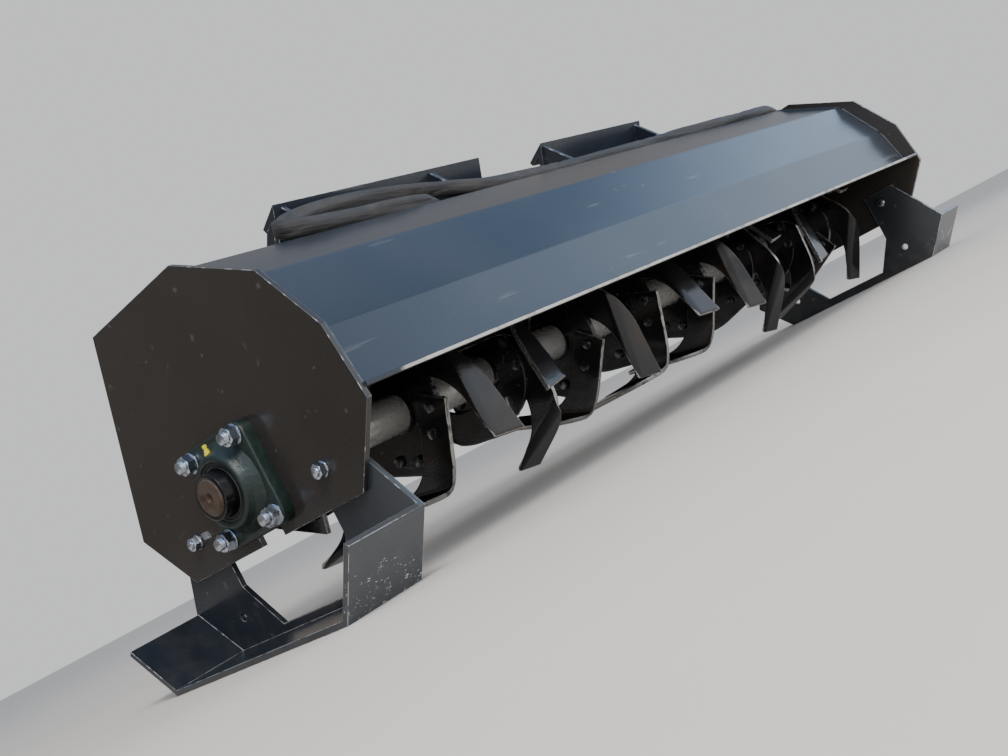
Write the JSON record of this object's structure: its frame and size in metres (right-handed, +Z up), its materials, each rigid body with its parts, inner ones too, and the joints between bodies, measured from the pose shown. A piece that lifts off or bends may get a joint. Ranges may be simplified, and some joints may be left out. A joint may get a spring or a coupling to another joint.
{
  "type": "hydraulic rotavator",
  "caption": "Loader-mounted rotavator: a hooded rotor with bent bolted tines between end plates on skid shoes, with a sloping quick-attach plate and a sleeved hose.",
  "frame": {"origin": "on the ground, in the middle of the part's length and depth, without the hose", "axes": "+X along the rotor from the bearing's end to the motor's end, +Y from the open front to the loader, +Z up"},
  "size_m": [2.073, 0.6316, 0.597],
  "materials": {
    "hood_paint": "satin, dusty",
    "shoe_paint": "satin, scratched to bare metal where it runs on the ground",
    "bearing_green": "gloss over cast iron",
    "seal_black": "matt",
    "zinc": "zinc plated",
    "nipple_brass": "bright",
    "motor_black": "gloss",
    "hose_rubber": "matt",
    "sleeve_textile": "woven, dusty",
    "tube_steel": "mill scale, dull",
    "shaft_rust": "light rust",
    "ring_steel": "dull",
    "rotor_paint": "satin black",
    "tine_steel": "black, thinly coated, bare at the edges"
  },
  "bodies": {
    "frame": {"end_plate_left": "hood_paint", "end_plate_right": "hood_paint", "hood_front_sheet": "hood_paint", "hood_rear_sheet": "hood_paint", "mount_plate": "hood_paint", "mount_cheek_left": "hood_paint", "mount_cheek_right": "hood_paint", "mount_gusset_1": "hood_paint", "mount_gusset_2": "hood_paint", "mount_gusset_3": "hood_paint", "mount_gusset_4": "hood_paint", "skid_shoe_left": "shoe_paint", "skid_shoe_right": "shoe_paint", "shoe_bolts_left": "zinc", "shoe_bolts_right": "zinc", "bearing_housing": "bearing_green", "bearing_outer_ring": "seal_black", "bearing_bolts": "zinc", "grease_nipple": "nipple_brass", "motor_flange": "hood_paint", "motor_body": "motor_black", "motor_cap": "motor_black", "motor_bolts": "zinc", "port_fittings": "zinc", "hose_stubs": "hose_rubber", "hose_sleeve": "sleeve_textile", "hose_couplers": "zinc"},
    "rotor": {"rotor_tube": "tube_steel", "stub_shaft_left": "shaft_rust", "stub_shaft_right": "tube_steel", "bearing_inner_ring": "ring_steel", "tine_flange_1": "rotor_paint", "tine_flange_2": "rotor_paint", "tine_flange_3": "rotor_paint", "tine_flange_4": "rotor_paint", "tine_flange_5": "rotor_paint", "tine_flange_6": "rotor_paint", "tine_flange_7": "rotor_paint", "tine_flange_8": "rotor_paint", "tine_flange_9": "rotor_paint", "tines_1": "tine_steel", "tines_2": "tine_steel", "tines_3": "tine_steel", "tines_4": "tine_steel", "tines_5": "tine_steel", "tines_6": "tine_steel", "tines_7": "tine_steel", "tines_8": "tine_steel", "tines_9": "tine_steel", "tine_bolts": "zinc"}
  },
  "joints": [
    {"name": "rotor_spin", "type": "hinge", "parent": "frame", "child": "rotor", "pos_m": [0, -0.03219, 0.205], "axis": [1, 0, 0], "continuous": true}
  ]
}
